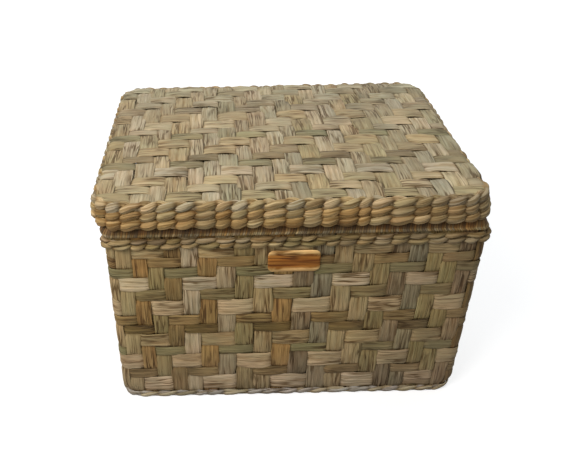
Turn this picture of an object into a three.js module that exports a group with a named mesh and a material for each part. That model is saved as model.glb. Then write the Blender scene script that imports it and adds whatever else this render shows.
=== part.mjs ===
import * as THREE from 'three';

// Woven box with a hinged lid. Millimetres, Z up, front at -Y, origin at the centre of the underside.

// Weave, shared by the walls and the lid
const STRIP_THICKNESS = 1; // leaf strip
const CLEARANCE = 0.3; // air between pieces that touch
const STRIP_GAP = 2; // between neighbouring stakes or warps, where a weft dives through
const WEFT_GAP = 0.8; // between neighbouring wefts
const FLOAT = 2; // strips that a weft passes over, then under

// Body
const BOX_WIDTH = 384; // over the woven walls
const BOX_DEPTH = 312;
const BOX_HEIGHT = 231.6; // to the top of the rim, without the lid
const BOX_CORNER_RADIUS = 9; // plan radius of the middle of the wall
const STAKES_FRONT = 20;
const STAKES_SIDE = 16;
const STAKE_SPREAD = 0.02; // how far the stakes crowd towards the corners, as a share of the wall
const STAKE_FOOT = 3; // bar that joins the stakes under the foot row
const WEFT_SHARES = [18.5, 11.5, 20.5, 12, 19, 12.5, 13.5, 19.5, 14.5, 16, 12, 12, 12.5]; // heights, upwards
const TWILL_START = 1; // step of the over and under at the lowest weft's first stake, at the front left
const BASE_THICKNESS = 3.6;
const FRAME_ROD = 6; // diameter of the base hoop and the corner posts

// Twined rows and rim
const TWINE_THICKNESS = 5.4; // one strand, across the wall
const RIM_TWINE_HEIGHT = 6.2;
const FOOT_TWINE_HEIGHT = 12;
const FOOT_TWINE_THICKNESS = 3;
const RIM_HOOP_HEIGHT = 12;
const RIM_HOOP_THICKNESS = 9.4;

// Lid
const LID_OVERHANG = 8; // lid edge beyond the woven walls
const LID_CORNER_RADIUS = 28; // plan radius of the middle of the edge band
const LID_TWINE_HEIGHT = 7.8;
const LID_STRIP = 17.6; // pitch of the strips from front to back
// Depths of the strips from side to side, backwards
const LID_WEFT_SHARES = [16.5, 16, 18, 19.5, 15, 15.5, 19.5, 20, 16.5, 15, 21, 24, 20.5, 17.5, 18.5, 20, 18];
const LID_BORDER = 4; // where the warps join at the front and the back

// Fittings
const TAG_WIDTH = 54;
const TAG_HEIGHT = 26;
const TAG_RADIUS = 6;
const TAG_THICKNESS = 1.6;
const TAG_DROP = 5; // below the rim rows
const STRAP_WIDTH = 36;
const STRAP_INSET = 82; // from the side wall to the middle of a strap
const STRAP_THICKNESS = 1.5;
const STRAP_TAIL = 26; // length on the wall below the rim rows
const STRAP_EASE = 5; // height over which a strap steps in or out

// Offsets across a woven sheet, from its middle
const SHEET_HALF = STRIP_THICKNESS / 2;
const WEFT_OFFSET = STRIP_THICKNESS + CLEARANCE;
const WEAVE_HALF = WEFT_OFFSET + SHEET_HALF;
const STRAND_INNER = SHEET_HALF + CLEARANCE;
const STRAND_OUTER = STRAND_INNER + TWINE_THICKNESS;

// Levels
const RIM_HOOP_BOTTOM = BOX_HEIGHT - RIM_HOOP_HEIGHT;
const STAKE_TOP = RIM_HOOP_BOTTOM - CLEARANCE;
const RIM_UPPER = STAKE_TOP - RIM_TWINE_HEIGHT;
const RIM_LOWER = RIM_UPPER - CLEARANCE - RIM_TWINE_HEIGHT;
const FIRST_WEFT = FOOT_TWINE_HEIGHT + CLEARANCE;
const WEFT_SCALE = (RIM_LOWER - CLEARANCE - FIRST_WEFT) / WEFT_SHARES.reduce((sum, share) => sum + share);
const WEFT_LEVELS = [FIRST_WEFT];
WEFT_SHARES.forEach((share, row) => WEFT_LEVELS.push(WEFT_LEVELS[row] + share * WEFT_SCALE));
const LID_BOTTOM = BOX_HEIGHT + CLEARANCE;
const LID_ROW_PITCH = LID_TWINE_HEIGHT + CLEARANCE;
const LID_EDGE_TOP = LID_BOTTOM + 3 * LID_ROW_PITCH - CLEARANCE;
const LID_SHEET = LID_EDGE_TOP + CLEARANCE + WEAVE_HALF;

const UP = new THREE.Vector3(0, 0, 1);
const COLOURS = {
  pale: '#c3ae8c',
  tan: '#a98f66',
  olive: '#8a7a50',
  green: '#7d7748',
  brown: '#7c6440',
  wrap: '#745a3a',
  cord: '#a5824f',
  tag: '#86521f',
  rod: '#5d4630',
};
const WEFT_COLOURS = ['pale', 'brown', 'tan', 'green', 'tan', 'olive', 'brown', 'pale', 'green'];

const part = new THREE.Group();
part.name = 'woven_lidded_box';

function add(name, geometry, colour, roughness = 0.8) {
  const material = new THREE.MeshStandardMaterial({ color: COLOURS[colour], roughness, metalness: 0 });
  const mesh = new THREE.Mesh(geometry, material);
  mesh.name = name;
  part.add(mesh);
}

// The four walls of a rounded rectangle, in order round it: front, right, back, left.
function outline(halfWidth, halfDepth, radius) {
  return [0, 1, 2, 3].map((i) => {
    const [half, reach] = i % 2 ? [halfDepth, halfWidth] : [halfWidth, halfDepth];
    return { run: 2 * (half - radius), reach, radius, turn: (i * Math.PI) / 2 };
  });
}

// A point on a wall, s along it and n outside its middle
function onWall(wall, s, n, z) {
  return new THREE.Vector3(s, -wall.reach - n, z).applyAxisAngle(UP, wall.turn);
}

// A point on the corner that follows a wall
function onCorner(wall, angle, n, z) {
  const r = wall.radius + n;
  const x = wall.run / 2 + r * Math.sin(angle);
  const y = -(wall.reach - wall.radius) - r * Math.cos(angle);
  return new THREE.Vector3(x, y, z).applyAxisAngle(UP, wall.turn);
}

// A solid through a row of equal loops of points, closed into a ring or capped at its ends
function sweep(loops, closed) {
  const sides = loops[0].length;
  const spans = closed ? loops.length : loops.length - 1;
  const index = [];
  for (let i = 0; i < spans; i += 1) {
    const here = i * sides;
    const next = ((i + 1) % loops.length) * sides;
    for (let j = 0; j < sides; j += 1) {
      const k = (j + 1) % sides;
      index.push(here + j, next + j, next + k, here + j, next + k, here + k);
    }
  }
  if (!closed) {
    const last = (loops.length - 1) * sides;
    for (let j = 1; j < sides - 1; j += 1) {
      index.push(0, j, j + 1, last, last + j + 1, last + j);
    }
  }
  const geometry = new THREE.BufferGeometry().setFromPoints(loops.flat());
  geometry.setIndex(index);
  geometry.computeVertexNormals();
  return geometry;
}

// A hoop of constant section, given as [n, z] corners
function hoop(walls, section, cornerSteps) {
  const loops = [];
  for (const wall of walls) {
    for (let step = 0; step <= cornerSteps; step += 1) {
      const angle = ((step / cornerSteps) * Math.PI) / 2;
      loops.push(section.map(([n, z]) => onCorner(wall, angle, n, z)));
    }
  }
  return sweep(loops, true);
}

function rectangle(n1, n2, z1, z2) {
  return [[n1, z1], [n2, z1], [n2, z2], [n1, z2]];
}

// A twined strand: flat against the stakes and rounded away from them; side is 1 outside, -1 inside
function strand(bottom, height, thickness, side) {
  const near = STRAND_INNER;
  const shoulder = near + 0.65 * thickness;
  const far = near + thickness;
  const half = [[near, 0], [shoulder, 0.06], [far, 0.32], [far, 0.68], [shoulder, 0.94], [near, 1]];
  const section = half.map(([n, share]) => [side * n, bottom + share * height]);
  return side > 0 ? section : section.reverse();
}

function oval(n, z, thickness, height, sides) {
  return Array.from({ length: sides }, (_, i) => {
    const angle = ((i + 0.5) / sides) * 2 * Math.PI;
    return [n + (thickness / 2) * Math.cos(angle), z + (height / 2) * Math.sin(angle)];
  });
}

function twill(step) {
  return ((step % (2 * FLOAT)) + 2 * FLOAT) % (2 * FLOAT);
}

// Body
const boxHalfWidth = BOX_WIDTH / 2 - WEAVE_HALF;
const boxHalfDepth = BOX_DEPTH / 2 - WEAVE_HALF;
const boxWalls = outline(boxHalfWidth, boxHalfDepth, BOX_CORNER_RADIUS);
boxWalls.forEach((wall, i) => {
  wall.stakes = i % 2 ? STAKES_SIDE : STAKES_FRONT;
});

// The middle of the gap before stake i
function stakeGap(wall, i) {
  const share = i / wall.stakes;
  return wall.run * (share - 0.5 - STAKE_SPREAD * Math.sin(2 * Math.PI * share));
}

function stakeEdge(wall, i, side) {
  return side < 0 ? stakeGap(wall, i) + STRIP_GAP / 2 : stakeGap(wall, i + 1) - STRIP_GAP / 2;
}

// One wall's stakes, joined along the foot
function stakes(wall) {
  const shape = new THREE.Shape();
  shape.moveTo(stakeEdge(wall, 0, -1), 0);
  shape.lineTo(stakeEdge(wall, wall.stakes - 1, 1), 0);
  for (let i = wall.stakes - 1; i >= 0; i -= 1) {
    shape.lineTo(stakeEdge(wall, i, 1), STAKE_TOP);
    shape.lineTo(stakeEdge(wall, i, -1), STAKE_TOP);
    if (i > 0) {
      shape.lineTo(stakeEdge(wall, i, -1), STAKE_FOOT);
      shape.lineTo(stakeEdge(wall, i - 1, 1), STAKE_FOOT);
    }
  }
  const geometry = new THREE.ExtrudeGeometry(shape, { depth: STRIP_THICKNESS, bevelEnabled: false });
  geometry.rotateX(Math.PI / 2);
  geometry.translate(0, SHEET_HALF - wall.reach, 0);
  return geometry.rotateZ(wall.turn);
}

// One weft round the body: outside a pair of stakes, then inside a pair, one stake further left each row up
function bodyWeft(row) {
  const bottom = WEFT_LEVELS[row] + WEFT_GAP / 2;
  const top = WEFT_LEVELS[row + 1] - WEFT_GAP / 2;
  const all = boxWalls.flatMap((wall) => Array.from({ length: wall.stakes }, (_, i) => ({ wall, i })));
  const offset = (k) => (twill((k % all.length) + row + TWILL_START) < FLOAT ? -WEFT_OFFSET : WEFT_OFFSET);
  const loops = [];
  const push = (place, n) => {
    const section = rectangle(n - SHEET_HALF, n + SHEET_HALF, bottom, top);
    loops.push(section.map(([across, z]) => place(across, z)));
  };
  all.forEach(({ wall, i }, k) => {
    const here = offset(k);
    const next = offset(k + 1);
    const last = i === wall.stakes - 1;
    const ahead = all[(k + 1) % all.length];
    if (here !== next) push((n, z) => onWall(wall, stakeEdge(wall, i, 1), n, z), here);
    if (last) {
      for (const share of [0, 0.5, 1]) {
        const angle = (share * Math.PI) / 2;
        push((n, z) => onCorner(wall, angle, n, z), here + share * (next - here));
      }
    }
    if (here !== next) push((n, z) => onWall(ahead.wall, stakeEdge(ahead.wall, ahead.i, -1), n, z), next);
  });
  return sweep(loops, true);
}

// A flat piece with rounded corners, standing on Z = 0
function plate(width, height, radius, thickness) {
  const [x, y] = [width / 2, height / 2];
  const shape = new THREE.Shape();
  shape.moveTo(radius - x, -y);
  shape.lineTo(x - radius, -y);
  shape.absarc(x - radius, radius - y, radius, -Math.PI / 2, 0);
  shape.absarc(x - radius, y - radius, radius, 0, Math.PI / 2);
  shape.absarc(radius - x, y - radius, radius, Math.PI / 2, Math.PI);
  shape.absarc(radius - x, radius - y, radius, Math.PI, 1.5 * Math.PI);
  return new THREE.ExtrudeGeometry(shape, { depth: thickness, bevelEnabled: false, curveSegments: 4 });
}

const baseWidth = 2 * (boxHalfWidth - STRAND_INNER);
const baseDepth = 2 * (boxHalfDepth - STRAND_INNER);
add('base_mat', plate(baseWidth, baseDepth, BOX_CORNER_RADIUS - STRAND_INNER, BASE_THICKNESS), 'tan');

const rodInset = -(STRAND_INNER + FRAME_ROD / 2);
const baseHoopLevel = BASE_THICKNESS + CLEARANCE + FRAME_ROD / 2;
add('base_hoop', hoop(boxWalls, oval(rodInset, baseHoopLevel, FRAME_ROD, FRAME_ROD, 8), 2), 'rod');

const postBottom = Math.max(baseHoopLevel + FRAME_ROD / 2, FOOT_TWINE_HEIGHT) + CLEARANCE;
const postTop = RIM_LOWER - CLEARANCE;
const postInset = -(WEAVE_HALF + CLEARANCE + FRAME_ROD / 2);
['front_right', 'back_right', 'back_left', 'front_left'].forEach((corner, i) => {
  const post = new THREE.CylinderGeometry(FRAME_ROD / 2, FRAME_ROD / 2, postTop - postBottom, 10);
  post.rotateX(Math.PI / 2);
  const foot = onCorner(boxWalls[i], Math.PI / 4, postInset, (postBottom + postTop) / 2);
  add(`post_${corner}`, post.translate(foot.x, foot.y, foot.z), 'rod');
});

['front', 'right', 'back', 'left'].forEach((side, i) => add(`stakes_${side}`, stakes(boxWalls[i]), 'tan'));

for (let row = 0; row < WEFT_SHARES.length; row += 1) {
  const number = String(row + 1).padStart(2, '0');
  add(`weft_${number}`, bodyWeft(row), WEFT_COLOURS[row % WEFT_COLOURS.length]);
}

add('foot_twine', hoop(boxWalls, strand(0, FOOT_TWINE_HEIGHT, FOOT_TWINE_THICKNESS, 1), 2), 'cord');
[['lower', RIM_LOWER], ['upper', RIM_UPPER]].forEach(([row, level]) => {
  for (const [face, side] of [['outer', 1], ['inner', -1]]) {
    const section = strand(level, RIM_TWINE_HEIGHT, TWINE_THICKNESS, side);
    add(`rim_twine_${row}_${face}`, hoop(boxWalls, section, 3), 'cord');
  }
});
const rimMiddle = RIM_HOOP_BOTTOM + RIM_HOOP_HEIGHT / 2;
add('rim_hoop', hoop(boxWalls, oval(0, rimMiddle, RIM_HOOP_THICKNESS, RIM_HOOP_HEIGHT, 10), 3), 'wrap');

const tagMiddle = RIM_LOWER - TAG_DROP - TAG_HEIGHT / 2;
const tag = plate(TAG_WIDTH, TAG_HEIGHT, TAG_RADIUS, TAG_THICKNESS).rotateX(Math.PI / 2);
add('front_tag', tag.translate(0, -BOX_DEPTH / 2 - CLEARANCE, tagMiddle), 'tag', 0.6);

// Lid
const lidHalfWidth = BOX_WIDTH / 2 + LID_OVERHANG - STRAND_OUTER;
const lidHalfDepth = BOX_DEPTH / 2 + LID_OVERHANG - STRAND_OUTER;
const lidWalls = outline(lidHalfWidth, lidHalfDepth, LID_CORNER_RADIUS);
add('lid_band', hoop(lidWalls, rectangle(-SHEET_HALF, SHEET_HALF, LID_BOTTOM, LID_EDGE_TOP), 3), 'tan');
['lower', 'middle', 'upper'].forEach((row, i) => {
  for (const [face, side] of [['outer', 1], ['inner', -1]]) {
    const section = strand(LID_BOTTOM + i * LID_ROW_PITCH, LID_TWINE_HEIGHT, TWINE_THICKNESS, side);
    add(`lid_twine_${row}_${face}`, hoop(lidWalls, section, 3), 'cord');
  }
});

// How far the lid reaches from its middle on one axis, at a distance along the other
function lidReach(half, otherHalf, along) {
  const past = Math.max(0, Math.abs(along) - (otherHalf - LID_CORNER_RADIUS));
  return half - LID_CORNER_RADIUS + Math.sqrt(Math.max(0, LID_CORNER_RADIUS ** 2 - past ** 2));
}

// The warps lie side by side, joined along the back border
const warpCount = Math.round((2 * lidHalfWidth) / LID_STRIP);
const warpPitch = (2 * lidHalfWidth) / warpCount;
const slotMiddle = (i) => (i + 1) * warpPitch - lidHalfWidth;
const slotReach = lidHalfDepth - LID_BORDER;
function warps() {
  const back = [];
  const front = [];
  for (let i = 0; i < warpCount; i += 1) {
    const left = i === 0 ? -lidHalfWidth : slotMiddle(i - 1) + STRIP_GAP / 2;
    const right = i === warpCount - 1 ? lidHalfWidth : slotMiddle(i) - STRIP_GAP / 2;
    const ease = Math.abs(left + right) / 2 > lidHalfWidth - LID_CORNER_RADIUS ? 4 : 1;
    if (i > 0) front.push([left, slotReach]);
    for (let step = 0; step <= ease; step += 1) {
      const x = left + (step / ease) * (right - left);
      const y = lidReach(lidHalfDepth, lidHalfWidth, x);
      front.push([x, -y]);
      back.unshift([x, y]);
    }
    if (i < warpCount - 1) front.push([right, slotReach]);
  }
  const shape = new THREE.Shape([...front, ...back].map(([x, y]) => new THREE.Vector2(x, y)));
  const geometry = new THREE.ExtrudeGeometry(shape, { depth: STRIP_THICKNESS, bevelEnabled: false });
  return geometry.translate(0, 0, LID_SHEET - SHEET_HALF);
}
add('lid_warps', warps(), 'tan');

// One weft across the lid: over a pair of warps, then under a pair, one warp further right each row back
const lidWeftSum = LID_WEFT_SHARES.reduce((sum, share) => sum + share);
const lidWeftScale = (2 * (slotReach - CLEARANCE)) / lidWeftSum;
const lidWeftEdges = [CLEARANCE - slotReach];
LID_WEFT_SHARES.forEach((share, row) => lidWeftEdges.push(lidWeftEdges[row] + share * lidWeftScale));
function lidWeft(row) {
  const middle = (lidWeftEdges[row] + lidWeftEdges[row + 1]) / 2;
  const half = (lidWeftEdges[row + 1] - lidWeftEdges[row] - WEFT_GAP) / 2;
  const end = lidReach(lidHalfWidth, lidHalfDepth, Math.abs(middle) + half);
  const offset = (i) => (twill(i - row) < FLOAT ? WEFT_OFFSET : -WEFT_OFFSET);
  const loops = [];
  const push = (x, n) => {
    const section = rectangle(-half, half, LID_SHEET + n - SHEET_HALF, LID_SHEET + n + SHEET_HALF);
    loops.push(section.map(([across, z]) => new THREE.Vector3(x, middle - across, z)));
  };
  push(-end, offset(0));
  for (let i = 0; i < warpCount - 1; i += 1) {
    if (offset(i) !== offset(i + 1)) {
      push(slotMiddle(i) - STRIP_GAP / 2, offset(i));
      push(slotMiddle(i) + STRIP_GAP / 2, offset(i + 1));
    }
  }
  push(end, offset(warpCount - 1));
  return sweep(loops, false);
}
for (let row = 0; row < LID_WEFT_SHARES.length; row += 1) {
  const number = String(row + 1).padStart(2, '0');
  add(`lid_weft_${number}`, lidWeft(row), WEFT_COLOURS[(row + 4) % WEFT_COLOURS.length]);
}

// Hinge straps: a leaf on the lid's edge and a leaf on the box, which follows the rim rows down to the wall
const lidBack = BOX_DEPTH / 2 + LID_OVERHANG + CLEARANCE;
const rimBack = boxHalfDepth + STRAND_OUTER + CLEARANCE;
const wallBack = BOX_DEPTH / 2 + CLEARANCE;
const leafOnLid = [
  [lidBack, LID_EDGE_TOP],
  [lidBack, LID_BOTTOM],
];
const leafOnBox = [
  [lidBack, BOX_HEIGHT],
  [rimBack, RIM_HOOP_BOTTOM],
  [rimBack, RIM_LOWER],
  [wallBack, RIM_LOWER - STRAP_EASE],
  [wallBack, RIM_LOWER - STRAP_EASE - STRAP_TAIL],
];

// A strap leaf along a line of [y, z] points at the back, seen from the side
function leaf(line, x) {
  const outer = line.map(([y, z]) => [y + STRAP_THICKNESS, z]).reverse();
  const loop = [...line, ...outer];
  const ends = [-STRAP_WIDTH / 2, STRAP_WIDTH / 2];
  const shape = new THREE.Shape(loop.map(([y, z]) => new THREE.Vector2(y, z)));
  const geometry = new THREE.ExtrudeGeometry(shape, { depth: ends[1] - ends[0], bevelEnabled: false });
  geometry.rotateX(Math.PI / 2);
  geometry.rotateZ(Math.PI / 2);
  return geometry.translate(x + ends[0], 0, 0);
}
for (const [side, sign] of [['left', -1], ['right', 1]]) {
  const x = sign * (BOX_WIDTH / 2 - STRAP_INSET);
  add(`hinge_box_${side}`, leaf(leafOnBox, x), 'brown');
  add(`hinge_lid_${side}`, leaf(leafOnLid, x), 'brown');
}

export default part;
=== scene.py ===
"""A woven box with a hinged lid: leaf strips in a two-over-two twill, twined borders and a wrapped rim."""

import math

import bpy
import numpy as np
from mathutils import Matrix, Vector


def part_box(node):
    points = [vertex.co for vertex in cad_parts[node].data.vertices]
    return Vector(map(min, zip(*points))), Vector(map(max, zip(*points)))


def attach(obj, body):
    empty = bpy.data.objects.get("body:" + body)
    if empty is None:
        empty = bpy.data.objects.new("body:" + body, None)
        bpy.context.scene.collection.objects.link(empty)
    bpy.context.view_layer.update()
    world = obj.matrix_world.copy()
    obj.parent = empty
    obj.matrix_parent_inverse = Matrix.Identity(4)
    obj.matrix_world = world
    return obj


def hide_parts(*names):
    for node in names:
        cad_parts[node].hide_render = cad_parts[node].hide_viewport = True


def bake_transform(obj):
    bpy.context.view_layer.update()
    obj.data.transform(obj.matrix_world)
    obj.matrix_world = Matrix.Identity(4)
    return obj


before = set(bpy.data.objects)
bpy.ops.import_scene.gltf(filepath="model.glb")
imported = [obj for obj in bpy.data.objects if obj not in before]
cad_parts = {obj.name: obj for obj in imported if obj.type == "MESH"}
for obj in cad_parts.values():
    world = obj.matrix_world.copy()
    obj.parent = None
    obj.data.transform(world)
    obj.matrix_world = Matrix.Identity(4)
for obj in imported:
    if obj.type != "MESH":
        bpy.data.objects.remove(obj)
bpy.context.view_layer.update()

MM = 0.001

# Weave
FLOAT = 2  # strips that a weft passes over, then under
SWING = 1.05 * MM  # how far a strip leaves the middle of the sheet
PUFF = 0.65 * MM  # extra rise in the middle of a float
PUFF_RANGE = (0.4, 1.5)  # least and greatest share of it
TURN = 3.6 * MM  # half the length over which a strip dives
COLUMNS = 21  # points across a strip
STEP = 3.4 * MM  # points along a strip

# One leaf strip; a wander is a wavelength in metres and an amount
WAVES = (1.0, 0.57, 0.31)  # lengths and heights of the waves in a wander
WAVES_HEIGHT = 1.3  # usual height of their sum
LEAF = 0.6 * MM  # thickness
THIN_EDGE = 0.5
CROWN = 0.55 * MM  # how far the edges curl down
CROWN_POWER = 5
UNDERSIDE = 4  # offset of the lower face's pattern, in half widths
WIDTH_RANGE = (0.98, 1.07)  # least and greatest share of its place
WIDTH_WANDER = (0.12, 0.04)
LEAN = 1.0 * MM  # usual lean over the length
LEAN_WANDER = (0.2, 0.5 * MM)
EDGE_WANDER = (0.07, 0.45 * MM)  # of each edge by itself
ROLL_WANDER = (0.06, 0.05)  # as a slope
FOLDS = (1, 1, 1, -1, -1, -1, -1)  # ridges and creases to draw from
FOLD_COUNTS = (5, 8)  # least, and one past the greatest
FOLD_REACH = 0.9  # how far out they lie, in half widths
FOLD_WANDER = (0.06, 0.09)  # sideways, in half widths
FOLD_ROUGHNESS = (0.5, 1.5)  # least and greatest share of the depth
FOLD_DEPTH = (0.15 * MM, 0.5 * MM)
FADE_WANDER = (0.045, 0.7)  # of the depth along the strip
FADE_MIDDLE = 0.6
FADE_MOST = 1.7
RIDGE_WIDTH = 0.2  # in half widths
CREASE_WIDTH = 0.07

# Shades of one leaf strip: random tones, and painted shade where it dives, along its edges and in its
# creases
PAINTED_SHADE_WARMTH = np.array([0.75, 1, 1.4])  # powers for red, green and blue on painted shade: the shaded recesses are painted warmer
DIVE_PAINTED_SHADE = 0.3  # painted shade: how much darker a strip is where it dives under others
DIVE = (-0.4, 0.8)  # where that painted shade ends, in swings
# painted shade along a strip's edges, beside the gaps between strips
EDGE_PAINTED_SHADE = 0.12
EDGE_POWER = 10
# painted shade in a strip's creases
CREASE_PAINTED_SHADE = 0.38
CREASE_FULL = 0.4 * MM  # depth of the creases with the darkest painted shade
TONE_SPREAD = 0.06  # usual difference between strips
TINT_SPREAD = 0.008  # of red, green and blue by themselves
TONE_WANDERS = ((0.2, 0.09), (0.06, 0.07))
WARMTH_WANDER = (0.3, 0.02)
WARMTH = np.array([0.6, 0, -1.4])  # red, green and blue
PATTERN_SPREAD = 50  # metres of noise that the strips are spread over

# Body, counted and measured on the photograph
STAKES = {"front": 20, "right": 16, "back": 20, "left": 16}
STAKE_SPREAD = 0.02  # how far they crowd towards the corners, as a share
LEVEL_WANDER = (0.4, 0.7 * MM)  # of the level strips, up and down
LIVELY = 0.07  # how much further apart the walls' colours are
WALL_LEAN = 2.5 * MM  # how far the right wall leans out below the hoop
HOOP_DRAWN = 2  # how far the hoop is drawn in from there, in leans
TWILL_START = 1  # step of the over and under at the lowest weft's first stake
FOOT_DROP = 3 * MM  # how far the lowest weft sits down into the foot row
FOOT_TUCK = 3.5 * MM  # how far the foot is tucked in at the corners
FOOT_TUCK_HEIGHT = 22 * MM
FOOT_TUCK_LENGTH = 24 * MM
DUST = 0.4  # how dusty the walls are at the floor
DUST_HEIGHT = 90 * MM
DULL = 0.45  # how much duller level strips and rows are at the right
WALL_RADIUS = 9 * MM  # plan radius of the middle of the wall
UPRIGHT_START = 4 * MM  # above the floor
UPRIGHT_END = 3 * MM  # above the hoop's lower edge

# Twined rows
SIDES = 14  # round a strand or a cane
LOBE = 17.6 * MM  # length of one lobe
LOBE_STEPS = 14
LOBE_WANDERS = ((0.11, 0.55), (0.05, 0.25))  # of the twist, in radians
LOBE_SPREAD = 0.08  # usual difference in height, and in shade
LOBE_SHADE = 1.9  # how soon a lobe's painted shade at its tucked ends gives way to its full colour
LOBE_BLUNT = 0.7  # power that makes a lobe blunter than a wave
STRAND_WANDER = (0.2, 0.3 * MM)  # up and down
STRAND_TWIST = 0.15  # slope of the fibres
STRAND_OUT = 0.42  # how far a strand swings out, in reaches of the row
STRAND_DEPTH = 0.55  # half its thickness, in reaches
STRAND_THIN = 0.4  # how much thinner a strand is between its lobes
STRAND_PLUMP = 0.8  # power that keeps a lobe plump
STRAND_FOLDS = 6  # round a strand
STRAND_TURN = 6  # how much these differ between lobes, in radians
STRAND_FOLD = 0.09  # their height, in half thicknesses
# painted shade in the folds' hollows and painted highlight on their crests
STRAND_FOLD_PAINTED_SHADE = 0.7
RIM_OUT = -0.5 * MM  # how far the rim rows stand out from the CAD rows
FRONT = (0.76, 0.96)  # where the front stretch of a row begins, in half depths
FOOT_LOBE = 1.15  # length of the foot row's lobes, in lobes
FOOT_MIDDLE = (0.4, 0.43)  # out and up, as shares of its reach and height, like the next two
FOOT_SWING = (0.22, 0.2)
FOOT_SIZE = (0.35, 0.33)
# brightness left under the painted shade at the foot lobes' ends
FOOT_PAINTED_SHADE = 0.7
CLEAR = 0.1 * MM  # room below the foot row, and below and above the base mat

# Wrapped rim
WRAP_WIDTH = 2.3 * MM
WRAP_WIDTHS = (0.6, 1.4)  # least and greatest share of it
WRAP_HEIGHT = 0.2 * MM
WRAP_HEIGHTS = (0.5, 1.3)  # least and greatest share of it
WRAP_LEAN = 1.3 * MM
WRAP_SIDES = 20
WRAP_TAPER = 0.5  # how much narrower the rim is towards its top
WRAP_STEPS = (0.03, 0.27, 0.5, 0.73, 0.97)  # places across one turn of the wrap
WRAP_RISE = (-0.5, 0.6, 1, 0.6, -0.5)  # its shape there
# painted shade where neighbouring turns of the wrap meet
WRAP_GAP_PAINTED_SHADE = (0.45, 1, 1, 1, 0.45)
WRAP_TONE = (1.06, 0.2)  # usual shade and usual difference
WRAP_WANDER = (0.2, 0.22)
WRAP_UNDER_LID_PAINTED_SHADE = 0.7  # painted shade: how much darker its upper half is, under the lid's overhang
WRAP_UNDER_LID_SHADE_SPAN = (-0.3, 0.1)  # where that painted shade begins, in half heights

# Lid
LID_CALM = 0.35  # how much nearer to each other its colours are
LID_RADIUS = 28 * MM  # plan radius of the middle of its edge
LID_WARPS = 22
SKIRT_LIFT = 2 * MM  # from the band's lower edge to the strips' ends
SHOULDER = 6 * MM  # bend where its strips turn down
SHOULDER_STEPS = 5
BULGE = (3.2 * MM, 4.4 * MM)  # how far long and cross strips swell out there
BULGE_DROP = 0.55  # below the sheet, in shoulders
BULGE_SPAN = 0.5
DOME = 2.5 * MM  # rise of its middle
LID_EDGE_PAINTED_SHADE = 0.3  # painted shade: how much darker its strips are where they turn down, away from the light overhead
UNEVEN = (2.2 * MM, 1.4 * MM)  # how far the gaps of long and cross strips lie off an even spacing
LID_WANDER = (0.4, 0.6 * MM)
ASKEW = 1.5 * MM  # how far its strips bend sideways
ASKEW_SCALE = 2.6  # brings the bend's greatest value to 1
LID_OVERLAP = 1.05  # width of its strips, as a share of their places
LID_SHIFT = -3 * MM  # how far it lies off the middle, to the left
LID_PRESS = 3 * MM  # how far the upper edge of its right side is pressed in
PRESS_SIDE = (0.6, 1)  # where that begins and is full, in half widths
PRESS_DEPTH = (100 * MM, -50 * MM)  # from the back to the front
PRESS_HEIGHT = (-20 * MM, -8 * MM)  # above the sheet
FAN = 45 * MM  # length over which its strips spread at a corner

# Base mat and cane frame
BASE_LIFT = 0.72  # the mat is thinner than the walls' weave
BASE_INSET = 1.5 * MM  # room for its uneven edges
CANE_NODE = 140 * MM  # between its joints
CANE_JOINT = 2.5 * MM  # half the length of a joint
CANE_SWELL = 0.06
CANE_DARK = 0.45

# Tag and hinge straps
TAG_RADIUS = 6 * MM
TAG_RINGS = ((0.02, 0), (0.25, 0), (0.5, 0), (0.7, 0), (0.84, 0), (0.93, 0.05), (0.98, 0.2), (1, 0.5))
TAG_POINTS = 96
TAG_EDGE = 0.02  # how uneven its outline is
TAG_PALE = (0.55, 0.7)  # where its paler edges begin, in half heights
TAG_PALE_WANDER = (0.03, 0.08)
TAG_STREAKS = (9 * MM, 0.22)
STRAP_THICKNESS = 1.3 * MM
STRAP_STEP = 1.2 * MM
STRAP_SLOPE = 5 * MM  # height over which it goes out to the rim rows
STRAP_ROUND = 5  # points over which its bends are rounded

# Leaf materials: waves per metre along and across, and where ramps begin and end
RIDGES_ALONG = 12
RIDGE_RAMP = (0.36, 0.62)
RIDGE_DARK_STREAKS_AND_SHADE = (1, 1.2, 1.55)  # shares of the contrast for red, green and blue in the ridges' hollows, which are the leaf's own streaks and painted shade
# how much lighter the ridges' crests are: the leaf's own streaks and a painted highlight
RIDGE_LIGHT_STREAKS_AND_HIGHLIGHT = 0.45
FIBRES_ALONG = 50
FIBRES_ACROSS = 4.5  # fibres in a ridge
FIBRE_RAMP = (0.34, 0.64)
FIBRE_TONES = ((0.88, 0.85, 0.79), (1.07, 1.07, 1.06))
BLOTCHES = (30, 45)
BLOTCH_RAMP = (0.34, 0.66)
GREEN_BLOTCH = (0.93, 0.97, 0.9, 1)
STRAW_BLOTCH = (1.05, 1.0, 0.93, 1)
PATCHES = (22, 60)  # of wrinkles
PATCH_RAMP = (0.46, 0.6)
CRACKS_ALONG = 18
CRACKS_ACROSS = 0.75  # wrinkles in a ridge
CRACK_WIDTH = 0.07
CRACK_CORE = 3  # how much narrower the darkest part is
CRACK_DISTORTION = 0.3
# painted shade in the wrinkles' grooves
CRACK_PAINTED_SHADE = (0.32, 0.26, 0.18)
LEAF_ROUGHNESS = (0.55, 0.82)
LEAF_GLOSS = 0.3
FIBRE_BUMP = 0.4
FIBRE_DEPTH = 0.3  # as a share of the ridges' depth
CRACK_DEPTH = 0.25
RIDGE_BUMP = 0.7

# Room on the texture sheet
UV_SPARE = 1.1  # length of a line, with room for its last face
UV_MARGIN = 0.03  # beside each line

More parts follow.
